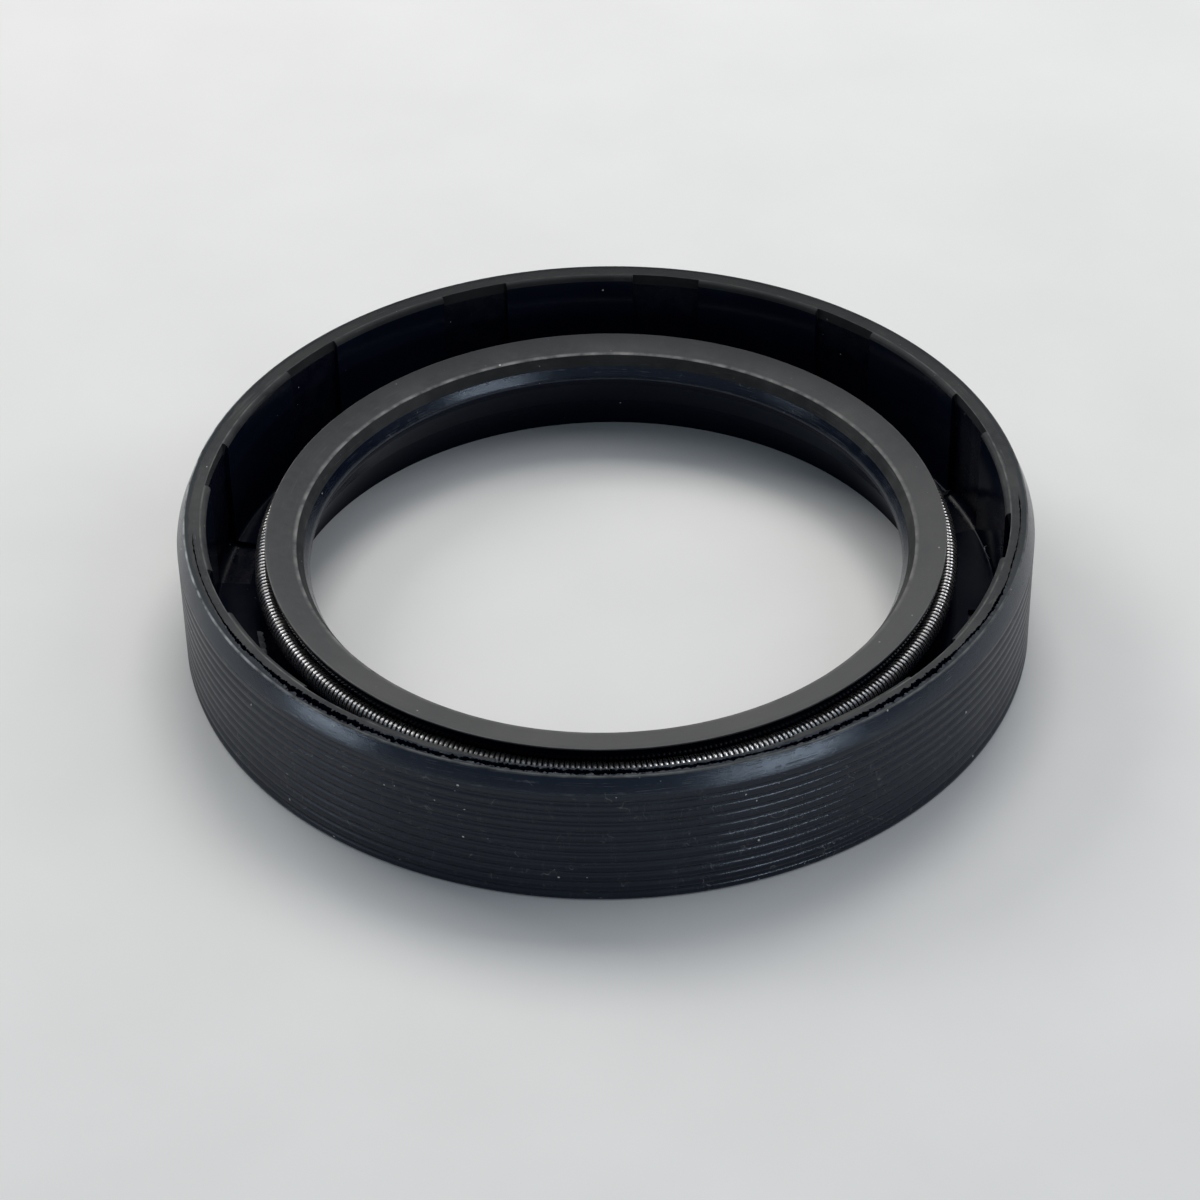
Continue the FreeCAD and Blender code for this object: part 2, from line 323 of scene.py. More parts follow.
def trace(points, closed=True):
    """In edit mode, draw an outline of radius and height by extruding one point."""
    bpy.ops.mesh.select_mode(type="VERT")
    bpy.ops.mesh.primitive_plane_add(size=MM, location=(0, 0, 0))
    bpy.ops.mesh.merge(type="CENTER")
    start = Vector((points[0][0], 0, points[0][1])) * MM
    bpy.ops.transform.translate(value=start)
    here = start
    for radius, height in points[1:] + (points[:1] if closed else []):
        there = Vector((radius, 0, height)) * MM
        bpy.ops.mesh.extrude_region_move(TRANSFORM_OT_translate={"value": there - here})
        here = there


WELD = 0.002
covering = start_piece("rubber_covering")
trace(rubber_outline)
trace(bed_outline)
weld(WELD)
print("section of", len(bmesh.from_edit_mesh(covering.data).edges), "edges")

# %% [markdown]
# The slots repeat every 30 degrees, so one twelfth is modelled and copied. Spin turns
# the outlines in three goes: half a pad, the slot, half a pad. That puts an edge exactly
# on each side of the slot. Without a window spin turns clockwise, so the angle is
# negative.

# %% Spin the section
SLOT_COUNT, SLOT_ANGLE, FIRST_SLOT = 12, 10.3, 20.0
SECTOR_ANGLE = 360.0 / SLOT_COUNT
HALF_PAD = (SECTOR_ANGLE - SLOT_ANGLE) / 2
SPIN_STEPS = 10


def spin(steps, angle):
    """In edit mode, turn what is selected anticlockwise round the seal's axis."""
    bpy.ops.mesh.spin(steps=steps, angle=-math.radians(angle), center=(0, 0, 0), axis=(0, 0, 1))


for stretch in (HALF_PAD, SLOT_ANGLE, HALF_PAD):
    spin(SPIN_STEPS, stretch)
print(len(bmesh.from_edit_mesh(covering.data).faces), "faces before the slot is opened")

# %% [markdown]
# In the slot the pads are missing and the insert lies bare. So the faces of the pads and
# of the bed are deleted there, and a bridge between the two openings makes its sides.

# %% Open the slot
# Faces nearer to the middle of the bed's bend than this aren't on the bend
NEAR_BEND = 0.6


def in_slot(angle):
    """Whether an angle of the sector lies in its slot."""
    return HALF_PAD < angle < HALF_PAD + SLOT_ANGLE


def on_pad(radius, height, angle):
    """A face of the pads' surface, where the slot is."""
    inside = SLOT_END < radius < INSERT_INSIDE - HAIR and height > PAD_FLOOR - HAIR
    return in_slot(angle) and inside and (radius < PAD_WALL + HAIR or height > INSERT_TOP + 0.1)


def on_bed(radius, height, angle):
    """A face of the bed's inside, where the slot is."""
    bend = (INSERT_INSIDE - INSIDE_BEND, INSERT_FLOOR + INSIDE_BEND)
    outside_bend = math.dist((radius, height), bend) > NEAR_BEND
    inner = SLOT_END < radius < INSERT_INSIDE + HAIR and INSERT_FLOOR - HAIR < height < INSERT_TOP
    beyond = height < PAD_FLOOR - HAIR or radius > PAD_WALL + HAIR
    return in_slot(angle) and inner and beyond and outside_bend


pad_faces = select_where(covering, "FACE", on_pad)
bpy.ops.mesh.delete(type="FACE")
bed_faces = select_where(covering, "FACE", on_bed)
bpy.ops.mesh.delete(type="FACE")
open_edges = select_where(covering, "EDGE", lambda radius, height, angle: (
    HALF_PAD - 0.1 < angle < HALF_PAD + SLOT_ANGLE + 0.1))
bpy.ops.mesh.bridge_edge_loops()
mode("OBJECT")
print("deleted", pad_faces, "and", bed_faces, "faces, bridged", open_edges, "edges")

# %% [markdown]
# ## Closing the ring
#
# Eleven copies of the twelfth, each turned 30 degrees further, close the ring. Joined
# and welded they are one skin again. Only then are the normals made to point outwards.

# %% Copy the twelfth round the axis
work_on(covering)
covering.rotation_euler.z = math.radians(FIRST_SLOT - SECTOR_ANGLE / 2)
sectors = [covering]
while len(sectors) < SLOT_COUNT:
    bpy.ops.object.duplicate()
    bpy.context.object.rotation_euler.z += math.radians(SECTOR_ANGLE)
    sectors.append(bpy.context.object)
for sector in sectors:
    sector.select_set(True)
bpy.context.view_layer.objects.active = covering
bpy.ops.object.transform_apply()
bpy.ops.object.join()

mode("EDIT")
weld(WELD)
bpy.ops.mesh.normals_make_consistent(inside=False)
mode("OBJECT")
print("ring of", len(covering.data.polygons), "faces")

# %% [markdown]
# ## The torn line on the rim
#
# Along the front half of the rim a thin flash of rubber was torn off, which left a
# ragged, dark line with curled edges. The rim's band is divided finely, its rows of
# points are drawn to the torn edges, and Displace modifiers push them down and up.

# %% Divide the band of the rim
TEAR_START, TEAR_END = 185.0, 361.0
BAND_ROWS = 10
ON_RIM = seal_width - HAIR

work_on(covering)
mode("EDIT")
band_faces = select_where(covering, "FACE", lambda radius, height, angle: (
    TEAR_INNER < radius < TEAR_OUTER and height > ON_RIM
    and (angle > TEAR_START or angle < TEAR_END - 360.0)))
bpy.ops.mesh.subdivide(number_cuts=BAND_ROWS - 1)
mode("OBJECT")
print("divided", band_faces, "faces of the rim")

# %% [markdown]
# The line wanders over the rim and is now wide, now hardly there. A table follows it.

# %% Say where the line runs and how wide it is
# Angle in degrees, radius of the line's middle and half its width in mm
TEAR_LINE = [
    (186, 33.62, 0.0), (189, 33.64, 0.06), (198, 33.66, 0.04), (205, 33.70, 0.05),
    (210, 33.76, 0.12), (213, 33.78, 0.16), (216, 33.70, 0.06), (219, 33.72, 0.14),
    (224, 33.80, 0.26), (229, 33.76, 0.32), (234, 33.82, 0.30), (239, 33.82, 0.17),
    (243, 33.86, 0.25), (249, 33.96, 0.18), (252, 33.80, 0.20), (257, 33.86, 0.25),
    (264, 33.84, 0.23), (270, 33.84, 0.26), (277, 33.86, 0.18), (284, 33.82, 0.16),
    (290, 33.86, 0.10), (295, 33.95, 0.17), (300, 33.86, 0.21), (306, 33.80, 0.22),
    (312, 33.78, 0.22), (316, 33.80, 0.23), (321, 33.76, 0.20), (324, 33.76, 0.05),
    (327, 33.78, 0.12), (331, 33.86, 0.08), (335, 33.84, 0.14), (340, 33.78, 0.03),
    (344, 33.66, 0.06), (352, 33.74, 0.03), (357, 33.72, 0.06), (360, 33.72, 0.0),
]


def look_up(table, angle, beyond):
    """The values of a table at an angle, or what holds beyond its ends."""
    for (first, *before), (last, *after) in zip(table, table[1:]):
        if first <= angle <= last:
            share = (angle - first) / (last - first)
            return [low + share * (high - low) for low, high in zip(before, after)]
    return beyond


def tear_at(angle):
    """Middle radius and half width of the torn line at an angle."""
    return look_up(TEAR_LINE, angle, (TEAR_LINE[0][1], 0.0))


print("widest tear", max(half_width for angle, middle, half_width in TEAR_LINE) * 2, "mm")

# %% [markdown]
# Rubber tears in a ragged line. A slow wave of smooth noise with a quick one on it
# moves each edge to and fro, and the more the wider the tear is.

# %% Make the edges ragged
SLOW_PACE, QUICK_PACE, QUICK_SHARE = 1.1, 3.0, 0.8
INNER_SEED, OUTER_SEED = 1, 5
INNER_MARGIN, OUTER_MARGIN, LEAST_GAP = 0.05, 0.04, 0.02


def wavy(angle, pace, seed):
    """A smooth random value from -1 to 1 that changes with the angle."""
    return noise.noise(Vector((angle * pace, seed, 0.0)))


def ragged(angle, seed):
    """How far a torn edge leaves its place, as a share of the tear's half width."""
    return wavy(angle, SLOW_PACE, seed) + QUICK_SHARE * wavy(angle, QUICK_PACE, seed)


def torn_edges(angle):
    """Radius of the inner and the outer torn edge at an angle."""
    middle, half_width = tear_at(angle)
    inner = middle - half_width - half_width * ragged(angle, INNER_SEED)
    outer = middle + half_width + half_width * ragged(angle, OUTER_SEED)
    inner = max(TEAR_INNER + INNER_MARGIN, inner)
    return inner, max(min(TEAR_OUTER - OUTER_MARGIN, outer), inner + LEAST_GAP)


print("torn edges at 270 degrees", [round(edge, 2) for edge in torn_edges(270.0)])

# %% [markdown]
# Of the band's nine rows three go inside the tear, four across its gap and two outside
# it, closer together the nearer they are to an edge.

# %% Draw the rows to the torn edges
# Share of the way to the edge, by row, counted from the band's inner side
INSIDE_ROWS = {1: 0.4, 2: 0.7, 3: 0.9}
GAP_ROWS = {4: 0.0, 5: 0.15, 6: 0.85, 7: 1.0}
OUTSIDE_ROWS = {8: 0.15, 9: 0.55}

for vertex in covering.data.vertices:
    radius, height, angle = place_of(vertex.co)
    row = round((radius - TEAR_INNER) / (TEAR_OUTER - TEAR_INNER) * BAND_ROWS)
    if height < ON_RIM or not 0 < row < BAND_ROWS:
        continue
    inner, outer = torn_edges(angle)
    if row in INSIDE_ROWS:
        drawn = TEAR_INNER + (inner - TEAR_INNER) * INSIDE_ROWS[row]
    elif row in GAP_ROWS:
        drawn = inner + (outer - inner) * GAP_ROWS[row]
    else:
        drawn = outer + (TEAR_OUTER - outer) * OUTSIDE_ROWS[row]
    vertex.co.x *= drawn / radius
    vertex.co.y *= drawn / radius
print("rows drawn")

# %% [markdown]
# Three vertex groups say what moves: the middle of the tear sinks, its edges curl up
# here and there, and at the front the rim's inner edge is worn down.

# %% Weigh the points
FULL_DEPTH_WIDTH = 0.05
CURL_REACH, CURL_PACE, CURL_MEAN, CURL_SPREAD = 0.06, 1.3, 0.4, 1.3
# Angle in degrees and share of the full wear
WORN_RAMP = [(234, 0.0), (247, 0.35), (260, 0.9), (272, 1.0), (286, 0.85), (298, 0.3), (308, 0.0)]
WORN_REACH, WORN_GAP = 0.5, 0.1


def weigh(group_name, vertex, weight):
    """Put a point of the covering in a vertex group, with a weight from 0 to 1."""
    covering.vertex_groups[group_name].add([vertex.index], min(1.0, max(0.0, weight)), "REPLACE")


for group_name in ("torn", "curl", "wear_and_edge_light"):
    covering.vertex_groups.new(name=group_name)
for vertex in covering.data.vertices:
    radius, height, angle = place_of(vertex.co)
    wear_and_edge_light, = look_up(WORN_RAMP, angle, (0.0,))
    if height > seal_width - WORN_REACH and radius < TEAR_INNER - WORN_GAP and wear_and_edge_light > 0.0:
        weigh("wear_and_edge_light", vertex, wear_and_edge_light)
    if height < ON_RIM or not TEAR_INNER + HAIR < radius < TEAR_OUTER - HAIR:
        continue
    half_width = tear_at(angle)[1]
    inner, outer = torn_edges(angle)
    if inner + HAIR / 10 < radius < outer - HAIR / 10:
        weigh("torn", vertex, half_width / FULL_DEPTH_WIDTH)
    elif half_width > HAIR and min(abs(radius - inner), abs(radius - outer)) < CURL_REACH:
        lift = CURL_MEAN + CURL_SPREAD * wavy(angle, CURL_PACE, round(radius * 4))
        weigh("curl", vertex, lift)
print("weighed for", ", ".join(group.name for group in covering.vertex_groups))

# %% Push the points in and up
PUSHES = {"torn": -0.5, "curl": 0.06, "wear_and_edge_light": -0.52}

for group_name, push in PUSHES.items():
    run_modifier(covering, "DISPLACE", vertex_group=group_name, direction="Z", mid_level=0.0,
                 strength=push * MM)
highest = max(vertex.co.z for vertex in covering.data.vertices) / MM
print("highest curl at", round(highest, 2), "mm")

# %% [markdown]
# ## Torn film and a thread of flash
#
# Two scraps of thin rubber are still attached inside the cup: a torn film stands up from
# the floor at the left, and a fine thread hangs from the wall at the right. The film is
# a strip that is spun a few degrees, with a ragged top, and made thick by Solidify.

# %% Tear a film
FILM_PROFILE = [(28.55, 1.6), (28.62, 1.95), (28.72, 2.2), (28.9, 2.42), (29.15, 2.5)]
FILM_START, FILM_SWEEP, FILM_STEPS, FILM_THICKNESS = 187.5, 7.0, 24, 0.05
FILM_PACE, FILM_SEED, FILM_MEAN, FILM_SPREAD, FILM_DROP = 1.7, 2.0, 0.6, 0.9, 0.8

film = start_piece("film")
trace(FILM_PROFILE, closed=False)
bpy.ops.mesh.select_all(action="SELECT")
spin(FILM_STEPS, FILM_SWEEP)
mode("OBJECT")
film_foot, film_top = FILM_PROFILE[0][1], FILM_PROFILE[-1][1]
for vertex in film.data.vertices:
    radius, height, angle = place_of(vertex.co)
    share = (height - film_foot) / (film_top - film_foot)
    ends = math.sin(math.pi * min(1.0, max(0.0, angle / FILM_SWEEP))) ** 0.5
    left = (FILM_MEAN + FILM_SPREAD * wavy(angle, FILM_PACE, FILM_SEED)) * ends
    vertex.co.z -= (1.0 - left) * share * FILM_DROP * MM
film.rotation_euler.z = math.radians(FILM_START)
bpy.ops.object.transform_apply()
run_modifier(film, "SOLIDIFY", thickness=FILM_THICKNESS * MM, offset=0.0)
print("film of", len(film.data.polygons), "faces")

# %% [markdown]
# The thread is a curve with a round bevel, turned into a mesh. Both scraps grow out of
# the rubber, so they are joined to the covering.

# %% Hang a thread
# Radius, angle and height of the points that the thread follows
THREAD_ROUTE = [(32.6, 7.0, 1.9), (32.2, 7.4, 2.3), (32.05, 8.0, 2.7), (32.15, 8.7, 2.75),
                (32.5, 9.3, 2.4)]
THREAD_RADIUS = 0.035

bpy.ops.curve.primitive_nurbs_path_add(location=(0, 0, 0))
thread = bpy.context.object
for point, (radius, angle, height) in zip(thread.data.splines[0].points, THREAD_ROUTE):
    turn = math.radians(angle)
    point.co = (radius * MM * math.cos(turn), radius * MM * math.sin(turn), height * MM, 1.0)
thread.data.bevel_depth = THREAD_RADIUS * MM
thread.data.bevel_resolution = 1
thread.data.resolution_u = 6
thread.data.use_fill_caps = True
bpy.ops.object.convert(target="MESH")
mode("EDIT")
weld(WELD / 2)
mode("OBJECT")

ring_faces = len(covering.data.polygons)
covering.select_set(True)
film.select_set(True)
bpy.context.view_layer.objects.active = covering
bpy.ops.object.join()
print("covering now has", len(covering.data.polygons), "faces")

# %% [markdown]
# ## Winding the garter spring
#
# A garter spring is wound straight from one wire, then bent round and joined end to end.
# It is modelled in the same order: the Screw modifier sweeps the wire's round section
# along a screw line. The bright turns with dark gaps are what the eye meets first here.

# %% Wind the wire straight
TURNS, WIRE_RADIUS = 420, 0.19
WIRE_SIDES, TURN_STEPS = 8, 16
coil_length = 2 * math.pi * SPRING_RADIUS

bpy.ops.object.select_all(action="DESELECT")
bpy.ops.mesh.primitive_circle_add(
    vertices=WIRE_SIDES, radius=WIRE_RADIUS * MM,
    location=(0, (COIL_RADIUS - WIRE_RADIUS) * MM, 0))
spring = bpy.context.object
spring.name = "spring_winding"
bpy.ops.object.transform_apply()
run_modifier(spring, "SCREW", axis="X", screw_offset=coil_length / TURNS * MM,
             iterations=TURNS, steps=TURN_STEPS, render_steps=TURN_STEPS)
print("straight coil", round(spring.dimensions.x / MM, 2), "mm long")

# %% [markdown]
# Simple Deform bends the straight coil to a ring. The angle allows for the thickness of
# the last turn, so that the two ends meet. The ring is then put at the seal's middle.

# %% Bend the coil to a ring
SPRING_WELD = 0.02

mode("EDIT")
bpy.ops.mesh.select_all(action="SELECT")
bpy.ops.transform.translate(value=(-coil_length / 2 * MM, 0, 0))
mode("OBJECT")
overhang = spring.dimensions.x / (coil_length * MM)
run_modifier(spring, "SIMPLE_DEFORM", deform_method="BEND", deform_axis="Z",
             angle=2 * math.pi * overhang)
sides = [vertex.co.y for vertex in spring.data.vertices]
spring.location = (0, -(min(sides) + max(sides)) / 2, SPRING_HEIGHT * MM)
bpy.ops.object.transform_apply()
mode("EDIT")
weld(SPRING_WELD)
bpy.ops.mesh.normals_make_consistent(inside=False)
mode("OBJECT")
print("spring ring", [round(value / MM, 2) for value in spring.dimensions], "mm")

# %% [markdown]
# ## Which faces get which finish
#
# Every face here is black rubber, but the mould and the trimming left several finishes:
# the satin ribbed wall, the polished taper and flank, the worn rim, the dull ground lip
# face and the dark inside of the cup. The scraps of flash, and the slots' floor steps at
# the right, are painted pale grey as a painted highlight. Each is a material of its own,
# given to the faces by their place.

# %% Name the finishes
FINISHES = ("moulded_rubber", "ribbed_rubber", "polished_rubber", "ground_rubber",
            "rim_rubber", "flash_and_highlight_rubber")
UNDER, FAR, TURN, SLOT_HIGHLIGHT_END = -1.0, 99.0, 360.0, 40.0
# Finish, range of radius, range of height and last angle. The first row that a face
# fits counts, and a face that fits none is as it left the mould.
FINISH_PLACES = [
    ("moulded_rubber", (TEAR_INNER, TEAR_OUTER), (11.0, seal_width - 0.06), TURN),
    ("rim_rubber", (INSERT_INSIDE - 0.5, FAR), (seal_width - 0.10, FAR), TURN),
    ("rim_rubber", (INSERT_INSIDE - 0.5, TEAR_INNER), (seal_width - 0.85, FAR), TURN),
    # Pale lines on the slots' floor steps at the right only, a painted highlight
    ("flash_and_highlight_rubber", (SLOT_END - 0.1, INSERT_INSIDE), (INSERT_FLOOR + 0.02, PAD_FLOOR - 0.02),
     SLOT_HIGHLIGHT_END),
    ("polished_rubber", (RIM_EDGE - 0.4, FAR), (TAPER_FOOT, FAR), TURN),
    ("ribbed_rubber", (outside_radius - 0.4, FAR), (UNDER, FAR), TURN),
    ("ground_rubber", (0.0, 28.02), (8.65, FAR), TURN),
    ("rim_rubber", (0.0, 25.5), (7.9, FAR), TURN),
    ("polished_rubber", (0.0, 25.5), (6.8, FAR), TURN),
]


def finish_of(radius, height, angle):
    """The finish of a face at a radius, a height and an angle."""
    for finish, (inner, outer), (low, high), last_angle in FINISH_PLACES:
        if inner < radius < outer and low < height < high and angle < last_angle:
            return finish
    return "moulded_rubber"


for name in FINISHES:
    covering.data.materials.append(bpy.data.materials.new(name))
counts = [0] * len(FINISHES)
for face in covering.data.polygons:
    finish = finish_of(*place_of(face.center)) if face.index < ring_faces else "flash_and_highlight_rubber"
    face.material_index = FINISHES.index(finish)
    counts[face.material_index] += 1
print(dict(zip(FINISHES, counts)))

# %% [markdown]
# The faces are shaded smoothly, and only sharp corners stay crisp.

# %% Smooth the skins
SHARP_CORNER = 35

for piece in (covering, spring):
    work_on(piece)
    bpy.ops.object.shade_smooth_by_angle(angle=math.radians(SHARP_CORNER))
print("smoothed", covering.name, "and", spring.name)

# %% [markdown]
# ## Tools for node materials
#
# Materials are small networks of nodes. A few helpers keep them short to write. They
# work on `tree`, which is the material or the node group that was opened last.

# %% Put nodes down


def feed(node, name, value):
    """Link or set the input of a node that has this name or number."""
    if isinstance(value, bpy.types.NodeSocket):
        tree.links.new(value, node.inputs[name])
    else:
        node.inputs[name].default_value = value


def put(kind, inputs=None, **settings):
    """Add a node to the tree, and give it its settings and its inputs."""
    node = tree.nodes.new(kind)
    for name, value in settings.items():
        setattr(node, name, value)
    for name, value in (inputs or {}).items():
        feed(node, name, value)
    return node


def work_out(operation, first, second=0.0):
    """The result of a Math node."""
    return put("ShaderNodeMath", {0: first, 1: second}, operation=operation).outputs[0]


def times(first, second):
    """The product of two values."""
    return work_out("MULTIPLY", first, second)


def fade(value, low, high, out_low=0.0, out_high=1.0):
    """Map a value from one range to another, without leaving the second."""
    inputs = {"Value": value, "From Min": low, "From Max": high,
              "To Min": out_low, "To Max": out_high}
    return put("ShaderNodeMapRange", inputs, clamp=True).outputs["Result"]


def mix_colours(share, first, second):
    """Blend two colours by a share from 0 to 1."""
    return put("ShaderNodeMix", {0: share, 6: first, 7: second}, data_type="RGBA").outputs[2]


print("node tools ready")

# %% [markdown]
# Places are vectors. These helpers change and measure them, and read a noise there.

# %% Work on points


def move(operation, point, by):
    """A point that is changed by a Vector Math node."""
    inputs = {0: point, "Scale" if operation == "SCALE" else 1: by}
    return put("ShaderNodeVectorMath", inputs, operation=operation).outputs[0]


def join_up(across, up):
    """A point that lies so far across and up."""
    return put("ShaderNodeCombineXYZ", {0: across, 1: up}).outputs[0]


def length(across, up):
    """The length of a line that runs so far across and up."""
    line = {0: join_up(across, up)}
    return put("ShaderNodeVectorMath", line, operation="LENGTH").outputs["Value"]


def along(point, direction):
    """How far a point lies along a direction."""
    inputs = {0: point, 1: direction}
    return put("ShaderNodeVectorMath", inputs, operation="DOT_PRODUCT").outputs["Value"]


def noise_at(point, scale, detail):
    """The outputs of a Noise node: its value and its colour."""
    inputs = {"Vector": point, "Scale": scale, "Detail": detail}
    return put("ShaderNodeTexNoise", inputs).outputs


print("point tools ready")

# %% [markdown]
# An effect that several finishes use is a node group: it is built once, with named inputs
# and outputs, and placed in each material with that material's own values.

# %% Make and place groups
FLOAT, VECTOR = "NodeSocketFloat", "NodeSocketVector"
ORIGIN = (0.0, 0.0, 0.0)


def new_group(name, **inputs):
    """Open a new node group, and give its inputs, which start at these values."""
    global tree
    tree = bpy.data.node_groups.new(name, "ShaderNodeTree")
    for label, value in inputs.items():
        kind = VECTOR if value is ORIGIN else FLOAT
        socket = tree.interface.new_socket(name=label, in_out="INPUT", socket_type=kind)
        socket.default_value = value
    return put("NodeGroupInput").outputs


def finish_group(**results):
    """Give the open group its outputs."""
    for label, value in results.items():
        kind = VECTOR if value.type == "VECTOR" else FLOAT
        tree.interface.new_socket(name=label, in_out="OUTPUT", socket_type=kind)
    put("NodeGroupOutput", results)
    print("group", tree.name, "with", len(tree.nodes), "nodes")


def effect(name, **inputs):
    """Place a node group with its own values, and give its outputs."""
    return put("ShaderNodeGroup", inputs, node_tree=bpy.data.node_groups[name]).outputs


print("group tools ready")

# %% [markdown]
# ## Where a point is on the ring
#
# Turned forms wear and shine by radius and height. This group reads the piece's own
# Object coordinates and gives them in millimetres, together with the radius, the height,
# a "lathe" point whose pattern runs in circles round the axis, and a "drawn" point whose
# pattern runs up and down the wall.

# %% Build the group for places
new_group("ring_place")
point = move("SCALE", put("ShaderNodeTexCoord").outputs["Object"], 1.0 / MM)
right, back, up = put("ShaderNodeSeparateXYZ", {0: point}).outputs
from_axis = length(right, back)
finish_group(Point=point, Right=right, Back=back, Height=up, Radius=from_axis,
             Lathe=move("ADD", join_up(from_axis, up), move("SCALE", point, 0.02)),
             Drawn=move("MULTIPLY", point, (1.0, 1.0, 0.06)))

# %% [markdown]
# ## Haze
#
# Rubber is never evenly black: wax blooms on it and hands wipe it. Soft clouds mark the
# duller patches.

# %% Build the group for haze
given = new_group("haze", Point=ORIGIN, Size=5.0, Low=0.4, High=0.7)
clouds = noise_at(given["Point"], work_out("DIVIDE", 1.0, given["Size"]), 4.0)[0]
finish_group(Mask=fade(clouds, given["Low"], given["High"]))

# %% [markdown]
# ## Dust and crumbs
#
# Small pale specks lie on every face that looks up or stands in the open. Each cell of a
# Voronoi pattern holds one speck, its own random colour says whether it is there and how
# large it is, and a little noise on the point makes its outline ragged.

# %% Build the group for specks
given = new_group("specks", Point=ORIGIN, Spacing=2.0, Size=0.1, Share=0.5)
wobble = noise_at(given["Point"], work_out("DIVIDE", 0.7, given["Size"]), 1.0)[1]
shift = move("SCALE", move("SUBTRACT", wobble, (0.5, 0.5, 0.5)), given["Size"])
cells = put("ShaderNodeTexVoronoi", {
    "Vector": move("ADD", given["Point"], shift),
    "Scale": work_out("DIVIDE", 1.0, given["Spacing"]), "Randomness": 1.0}).outputs
chance = put("ShaderNodeSeparateColor", {0: cells["Color"]}).outputs
reach = times(given["Size"], fade(chance[1], 0.0, 1.0, 0.25, 1.0))
reach = times(reach, work_out("LESS_THAN", chance[0], given["Share"]))
edge = work_out("SUBTRACT", reach, times(cells["Distance"], given["Spacing"]))
finish_group(Mask=fade(edge, 0.0, 0.02))

# %% [markdown]
# ## Fine marks
#
# Tools and handling leave fine lines: circles where a face was ground, strokes along the
# wall where the seal was pushed. The line follows the level of a stretched noise, and a
# second noise breaks it into pieces.

# %% Build the group for fine marks
given = new_group("fine_marks", Path=ORIGIN, Point=ORIGIN, Spacing=0.5, Width=0.03, Share=0.5)
lines = noise_at(given["Path"], work_out("DIVIDE", 1.0, given["Spacing"]), 2.0)[0]
away = work_out("ABSOLUTE", work_out("SUBTRACT", lines, 0.5))
breaks = noise_at(given["Point"], 0.9, 3.0)[0]
gate = fade(work_out("ADD", breaks, given["Share"]), 0.95, 1.1)
finish_group(Mask=times(fade(away, 0.0, given["Width"], 1.0, 0.0), gate))

# %% [markdown]
# ## Skin
#
# Moulded rubber copies the mould's spark-eroded face: a very fine grain on a faint wave.
# The group puts out a height, and each material gives it to a Bump node of its own.

# %% Build the group for the skin
given = new_group("skin", Point=ORIGIN, Grain=0.12, Wave=1.5)
grain = noise_at(given["Point"], work_out("DIVIDE", 1.0, given["Grain"]), 3.0)[0]
wave = noise_at(given["Point"], work_out("DIVIDE", 1.0, given["Wave"]), 2.0)[0]
finish_group(Level=work_out("ADD", grain, wave))

# %% [markdown]
# ## Worn edges
#
# Corners rub first and turn grey. The mask is strongest on a corner that is given by its
# radius and height, fades with the distance from it, and is broken up by soft clouds. The
# same mask also places a painted highlight on the rim's outer edge at the left.

# %% Build the group for worn and lit edges
given = new_group("worn_and_lit_edge", Point=ORIGIN, Radius=0.0, Height=0.0, Edge_radius=0.0,
                  Edge_height=0.0, Width=0.1)
away = length(work_out("SUBTRACT", given["Radius"], given["Edge_radius"]),
              work_out("SUBTRACT", given["Height"], given["Edge_height"]))
near = fade(work_out("DIVIDE", away, given["Width"]), 0.3, 1.0, 1.0, 0.0)
breaks = noise_at(given["Point"], 0.8, 4.0)[0]
finish_group(Mask=times(near, fade(breaks, 0.3, 0.65)))

# %% [markdown]
# ## The rubber finishes
#
# All share one recipe: near-black rubber, hazed in patches, with fine marks and dust on
# it. What differs is how dark it is, how much it shines and which way its marks run, so
# the recipe is written once. Every material is worked on with the same few tools.

# %% Work on a material
RELIEF = 0.02 * MM


def open_material(material):
    """Open a material's nodes, and give its shader and the places on the ring."""
    global tree
    material.use_nodes = True
    tree = material.node_tree
    return tree.nodes["Principled BSDF"], effect("ring_place")


def feeding(shader, name):
    """What feeds the shader's input of this name so far."""
    return shader.inputs[name].links[0].from_socket


def paint_over(shader, mask, strength, colour):
    """Blend a colour over the shader's colour where a mask says."""
    before = feeding(shader, "Base Color")
    feed(shader, "Base Color", mix_colours(times(mask, strength), before, colour))


def polish(shader, amount):
    """Take an amount off the shader's roughness."""
    feed(shader, "Roughness", work_out("SUBTRACT", feeding(shader, "Roughness"), amount))


def raise_skin(shader, level, strength):
    """Turn a level into a relief on the shader."""
    inputs = {"Strength": strength, "Distance": RELIEF, "Height": level}
    feed(shader, "Normal", put("ShaderNodeBump", inputs).outputs[0])


print("material tools ready")

# %% [markdown]
# Masks say where haze, lines, worn corners and dust are. Dust has large and fine specks.

# %% Find the haze, the lines, the corners and the dust


def haze(point, size, low, high):
    """The mask of clouds of a size."""
    return effect("haze", Point=point, Size=size, Low=low, High=high)[0]


def marks_on(path, point, spacing, width, share):
    """The mask of fine lines that run along a path."""
    return effect("fine_marks", Path=path, Point=point, Spacing=spacing, Width=width,
                  Share=share)[0]


def worn_and_lit_corner(place, radius, height, width):
    """The mask of a corner at a radius and a height."""
    return effect("worn_and_lit_edge", Point=place["Point"], Radius=place["Radius"],
                  Height=place["Height"], Edge_radius=radius, Edge_height=height, Width=width)[0]


def dust(point, share):
    """The mask of specks and of finer, fainter ones."""
    speck = effect("specks", Point=point, Spacing=1.5, Size=0.11, Share=share)[0]
    fine = effect("specks", Point=point, Spacing=0.7, Size=0.045, Share=share)[0]
    return work_out("MAXIMUM", speck, times(fine, 0.6))


print("masks ready")

# %% [markdown]
# The colour is built up as on the real seal: black rubber, bloom, strokes, worn corners,
# fibres, and dust last. Haze and dust also make it duller.

# %% Mix the rubber
DUST_COLOUR = (0.42, 0.40, 0.37, 1)
RUBBER_TINT = (0.80, 0.89, 1.0, 1)


